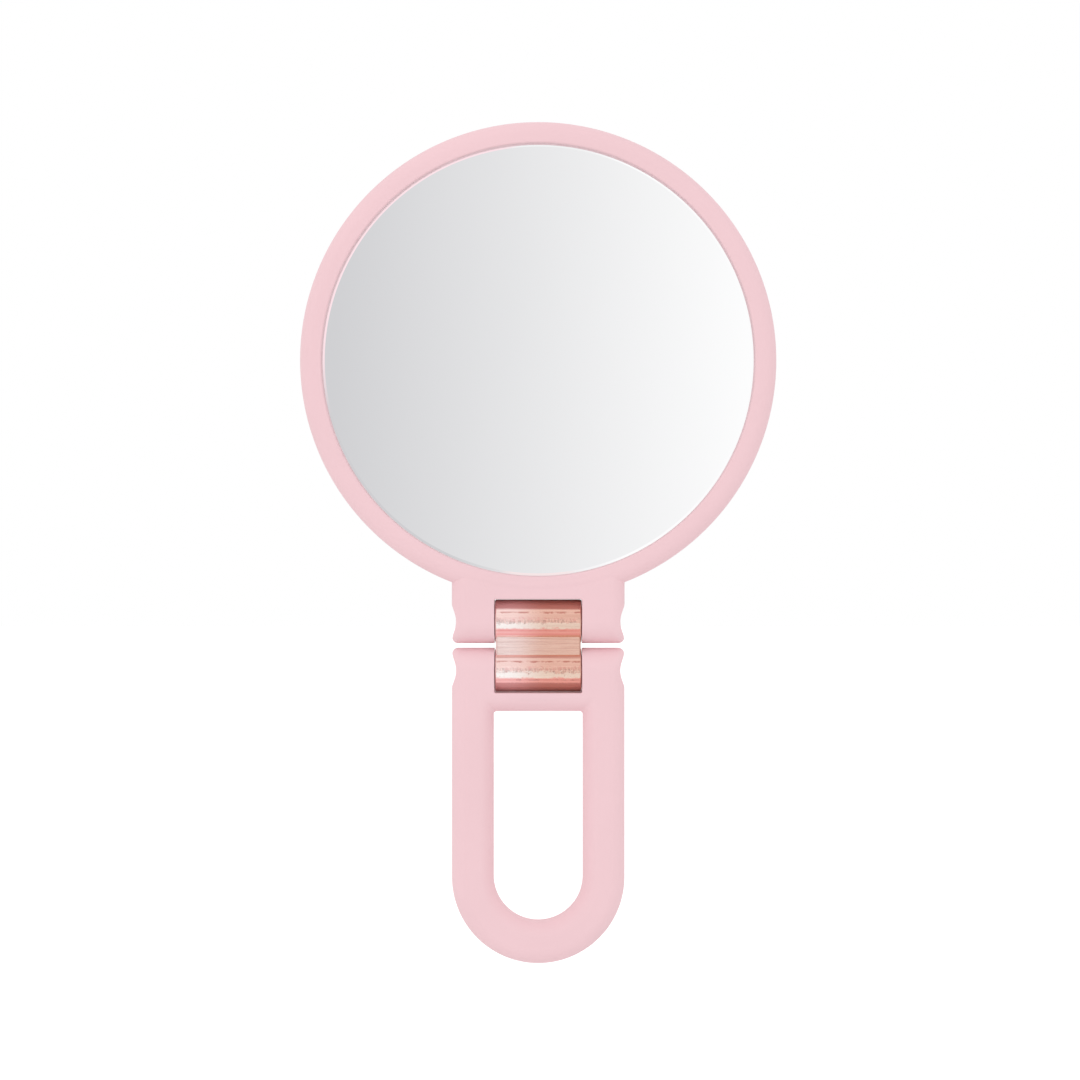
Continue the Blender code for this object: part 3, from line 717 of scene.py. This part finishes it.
MATERIALS = {
    "soft_touch_pink": soft_touch_pink(),
    "rose_gold": rose_gold(),
    "mirror_silver": mirror_silver(),
    "pivot_steel": pivot_steel(),
    "nylon": nylon(),
    "gasket_rubber": gasket_rubber(),
}


def dress_nodes():
    """The CAD nodes that stay get the finish of their slot."""
    for part in frame["record"]["subparts"]:
        node = frame["nodes"][part["node"]]
        node.data.materials.clear()
        node.data.materials.append(MATERIALS[part["material_slot"]])


# ---- camera and floor ---------------------------------------------------------------------------
PHOTO_WIDTH = 1080
HEAD_WIDTH = 0.14
HEAD_HALF_PIXELS = 238.25
METRES_PER_PIXEL = HEAD_WIDTH / (2 * HEAD_HALF_PIXELS)
PHOTO_CENTRE_X = 538.2  # column of the object's middle
HINGE_ROW = 645.8  # row half way between the two pivots
CAMERA_DISTANCE = 0.85
OUTLINE_DEPTH = 0.0031  # how far in front of the middle plane the shown outline lies
SENSOR_WIDTH = 36.0
CLIP_START, CLIP_END = 0.01, 50
FLOOR_Z = -0.125
FLOOR_HALF = 6.0
FLOOR_LIFT = 0.40  # how much of white the floor adds where the camera sees it
WHITE = (1, 1, 1, 1)


def make_camera():
    """Straight at the flat glass, framed as the photograph is."""
    camera_data = bpy.data.cameras.new("camera")
    camera = bpy.data.objects.new("camera", camera_data)
    bpy.context.scene.collection.objects.link(camera)
    hinge_z = (LOWER_AXIS_Z + UPPER_AXIS_Z) / 2
    x = (PHOTO_WIDTH / 2 - PHOTO_CENTRE_X) * METRES_PER_PIXEL
    z = hinge_z + (HINGE_ROW - PHOTO_WIDTH / 2) * METRES_PER_PIXEL
    camera.location = (x, -CAMERA_DISTANCE, z)
    camera.rotation_euler = (QUARTER, 0, 0)
    camera_data.sensor_width = SENSOR_WIDTH
    reach = CAMERA_DISTANCE - OUTLINE_DEPTH
    camera_data.lens = SENSOR_WIDTH * reach / (PHOTO_WIDTH * METRES_PER_PIXEL)
    camera_data.clip_start = CLIP_START
    camera_data.clip_end = CLIP_END
    bpy.context.scene.camera = camera


def floor_paper():
    """Pale paper that the camera sees as white, and that reflections look through."""
    material = bpy.data.materials.new("floor_paper")
    tree = Tree(material)
    path = tree.add("LightPath").outputs
    paper = tree.feed(tree.add("BsdfPrincipled"), {
        "Base Color": (0.90, 0.90, 0.90, 1),
        "Roughness": 0.9,
        "Emission Color": WHITE,
        "Emission Strength": tree.maths("MULTIPLY", path["Is Camera Ray"], FLOOR_LIFT),
    })
    clear = tree.add("BsdfTransparent").outputs["BSDF"]
    seen = tree.shader_mix(path["Is Glossy Ray"], paper.outputs["BSDF"], clear)
    tree.feed(tree.add("OutputMaterial"), {"Surface": seen})
    return material


def make_floor():
    """A pale floor well below the folded head. It shows white, and keeps the object's shadow."""
    bm = bmesh.new()
    corners = ((-1, -1), (1, -1), (1, 1), (-1, 1))
    bm.faces.new([bm.verts.new((x * FLOOR_HALF, y * FLOOR_HALF, FLOOR_Z)) for x, y in corners])
    floor = mesh_object("floor", bm)
    floor.data.materials.append(floor_paper())


# ---- light --------------------------------------------------------------------------------------
LIT_LEVEL = 0.96  # the world's plain light on the object
KEY_PLACE = (-0.9, -1.6, 1.0)
KEY_SIZE = 1.2
KEY_POWER = 3.0

# What the glass and the plating reflect: (X, Y or Z of the reflection's direction, grey or colour)
SHADE = (0.63, 0.63, 0.645)
PALE = (1.02, 1.30, 1.34)
ROSE = (0.94, 0.80, 0.80)
GLASS_REACH = APERTURE_RADIUS / CAMERA_DISTANCE
GLASS_BY_X = (
    (-0.60, 0.84), (-0.20, SHADE), (-GLASS_REACH, SHADE), (GLASS_REACH, 1.0), (0.22, 0.98), (0.60, 0.70)
)
STUDIO_BY_Z = (
    (-1.00, (0.87, 0.50, 0.53)), (-0.95, (0.97, 0.62, 0.64)), (-0.76, (0.98, 0.79, 0.82)),
    (-0.66, (0.99, 0.93, 0.96)), (-0.62, PALE), (-0.165, PALE), (-0.135, ROSE), (-0.105, ROSE),
    (-0.085, (1.05, 1.24, 1.26)), (-0.040, (1.12, 1.32, 1.34)), (-0.012, 0.84), (0.15, 0.90),
    (0.25, 0.90), (0.30, 1.0), (0.92, 1.0), (0.955, (0.70, 0.48, 0.47)),
)
# The studio shows outside these bands, the narrow one ahead and the wide one to its sides.
NARROW_BAND_BY_Z = ((-0.024, 1), (-0.015, 0), (0.140, 0), (0.150, 1))
WIDE_BAND_BY_Z = ((-0.20, 1), (-0.17, 0), (0.26, 0), (0.30, 1))
BESIDE_BY_X = ((-0.034, 1), (-0.022, 0), (0.022, 0), (0.034, 1))
# A neutral room takes the studio's place far to the sides.
ASIDE_BY_X = ((-0.42, 1), (-0.24, 0), (0.24, 0), (0.42, 1))
ROOM_BY_X = ((-0.90, 0.96), (-0.64, 0.93), (-0.44, 0.70), (0.44, 0.70), (0.64, 0.93), (0.90, 0.96))
# A blush up to the left, which the bevel picks up there.
BLUSH = (1.0, 0.78, 0.82, 1)
UP_LEFT = (-0.707, 0, 0.707)
BLUSH_BY_UP_LEFT = ((0.135, 0), (0.175, 1), (0.26, 1), (0.32, 0))
LEFTWARD_BY_X = ((-0.030, 1), (-0.016, 0))
AHEAD_BY_Y = ((-0.955, 1), (-0.935, 0))
# What the magnifying glass sees.
BEHIND_BY_Y = ((0.55, 0), (0.75, 1))
REAR_BY_X = ((-0.60, 0.84), (-0.14, SHADE), (0.14, 1.0), (0.25, 0.97), (0.70, 0.66))


def by_direction(tree, component, stops):
    """A colour ramp over a component of a direction, from -1 to 1."""
    places = [((place + 1) / 2, level) for place, level in stops]
    return tree.colours(tree.map_range(component, -1.0, 1.0), places)


def reflected(tree):
    """A side-lit studio in front, a neutral room to the sides, and plain walls behind."""
    direction = tree.coordinates("Generated")
    x, y, z = tree.split(direction)
    narrow = by_direction(tree, z, NARROW_BAND_BY_Z)
    wide = by_direction(tree, z, WIDE_BAND_BY_Z)
    outside = tree.colour_mix(by_direction(tree, x, BESIDE_BY_X), narrow, wide)
    studio = by_direction(tree, z, STUDIO_BY_Z)
    room = by_direction(tree, x, ROOM_BY_X)
    around = tree.colour_mix(by_direction(tree, x, ASIDE_BY_X), studio, room)
    front = tree.colour_mix(outside, by_direction(tree, x, GLASS_BY_X), around)
    turned_up_left = tree.add("VectorMath", operation="DOT_PRODUCT")
    tree.feed(turned_up_left, {0: direction, 1: UP_LEFT})
    lobe = by_direction(tree, turned_up_left.outputs["Value"], BLUSH_BY_UP_LEFT)
    left_lobe = tree.maths("MULTIPLY", lobe, by_direction(tree, x, LEFTWARD_BY_X))
    blush_share = tree.maths("MULTIPLY", left_lobe, by_direction(tree, y, AHEAD_BY_Y))
    blushing = tree.colour_mix(blush_share, front, BLUSH)
    rear = by_direction(tree, x, REAR_BY_X)
    return tree.colour_mix(by_direction(tree, y, BEHIND_BY_Y), blushing, rear)


def background(tree, colour, strength=1.0):
    node = tree.feed(tree.add("Background"), {"Color": colour, "Strength": strength})
    return node.outputs["Background"]


def make_world():
    """White to the camera, plain white light on the object, and the studio in reflections."""
    world = bpy.data.worlds.new("studio")
    bpy.context.scene.world = world
    tree = Tree(world)
    path = tree.add("LightPath").outputs
    lit = background(tree, WHITE, LIT_LEVEL)
    in_gloss = background(tree, reflected(tree))
    unseen = tree.shader_mix(path["Is Glossy Ray"], lit, in_gloss)
    shown = tree.shader_mix(path["Is Camera Ray"], unseen, background(tree, WHITE))
    tree.feed(tree.add("OutputWorld"), {"Surface": shown})


def make_key_lamp():
    """One large soft lamp up to the left, kept out of the reflections."""
    lamp_data = bpy.data.lights.new("key", "AREA")
    lamp_data.shape = "DISK"
    lamp_data.size = KEY_SIZE
    lamp_data.energy = KEY_POWER
    lamp = bpy.data.objects.new("key", lamp_data)
    middle = Vector((0, 0, (CAD_BOX[0][2] + CAD_BOX[1][2]) / 2))
    lamp.location = KEY_PLACE
    lamp.rotation_euler = (middle - Vector(KEY_PLACE)).to_track_quat("-Z", "Y").to_euler()
    lamp.visible_glossy = False
    bpy.context.scene.collection.objects.link(lamp)


def main():
    dress_nodes()
    make_camera()
    make_floor()
    make_world()
    make_key_lamp()
    make_head_skin(FRONT, "head_front_skin", "head_front_shell")
    make_head_skin(REAR, "head_rear_skin", "head_rear_shell")
    make_handle_skin(FRONT, "handle_front_skin", "handle_front_shell")
    make_handle_skin(REAR, "handle_rear_skin", "handle_rear_shell")
    make_link_skin()
    make_flat_glass()
    make_magnifier()
    for level, axis_z, body in (("upper", UPPER_AXIS_Z, "head"), ("lower", LOWER_AXIS_Z, "handle")):
        make_cap(level, "left", -1, axis_z, body)
        make_cap(level, "right", 1, axis_z, body)
    bpy.context.scene.view_settings.view_transform = "Standard"


main()
